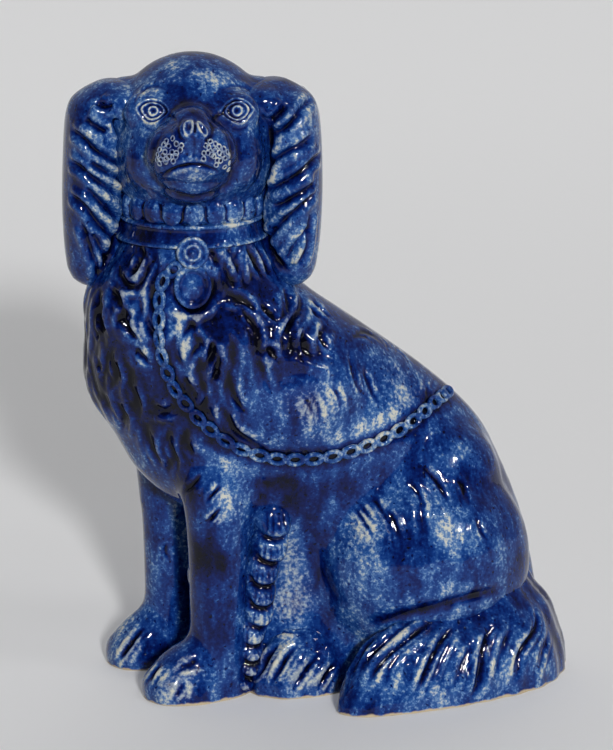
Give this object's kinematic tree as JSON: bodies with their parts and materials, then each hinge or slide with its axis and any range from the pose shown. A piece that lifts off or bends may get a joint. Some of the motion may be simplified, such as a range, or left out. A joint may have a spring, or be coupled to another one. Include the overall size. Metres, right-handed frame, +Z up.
{
  "type": "dog money bank",
  "caption": "Hollow glazed stoneware money bank in the form of a seated spaniel with collar, locket and chain; coins go in by a slot in the back and come out past a cork in the base.",
  "frame": {"origin": "under the middle of the whole bank, on the plane it stands on", "axes": "+Z up, -X the way the dog's body faces, -Y the way its head looks, to its left"},
  "size_m": [0.2044, 0.1238, 0.255],
  "materials": {
    "cobalt_glaze": "glossy mottled glaze",
    "pale_glaze": "glossy glaze, thin on the relief",
    "bare_clay": "unglazed",
    "cork": "raw cork"
  },
  "bodies": {
    "dog": {"body_front_shell": "cobalt_glaze", "body_back_shell": "cobalt_glaze", "face_shell": "cobalt_glaze", "head_back_shell": "cobalt_glaze", "ear_left": "cobalt_glaze", "ear_right": "cobalt_glaze", "foreleg_left": "cobalt_glaze", "foreleg_right": "cobalt_glaze", "foreleg_feather": "cobalt_glaze", "hind_foot_left": "cobalt_glaze", "hind_foot_right": "cobalt_glaze", "tail": "cobalt_glaze", "collar_band": "pale_glaze", "collar_beads": "pale_glaze", "collar_boss": "pale_glaze", "locket": "pale_glaze", "chain": "pale_glaze", "base_slab": "bare_clay"},
    "stopper": {"coin_stopper": "cork"}
  },
  "joints": [
    {"name": "stopper_pull", "type": "slide", "parent": "dog", "child": "stopper", "axis": [0, 0, -1], "range_m": [0, 0.025]}
  ]
}
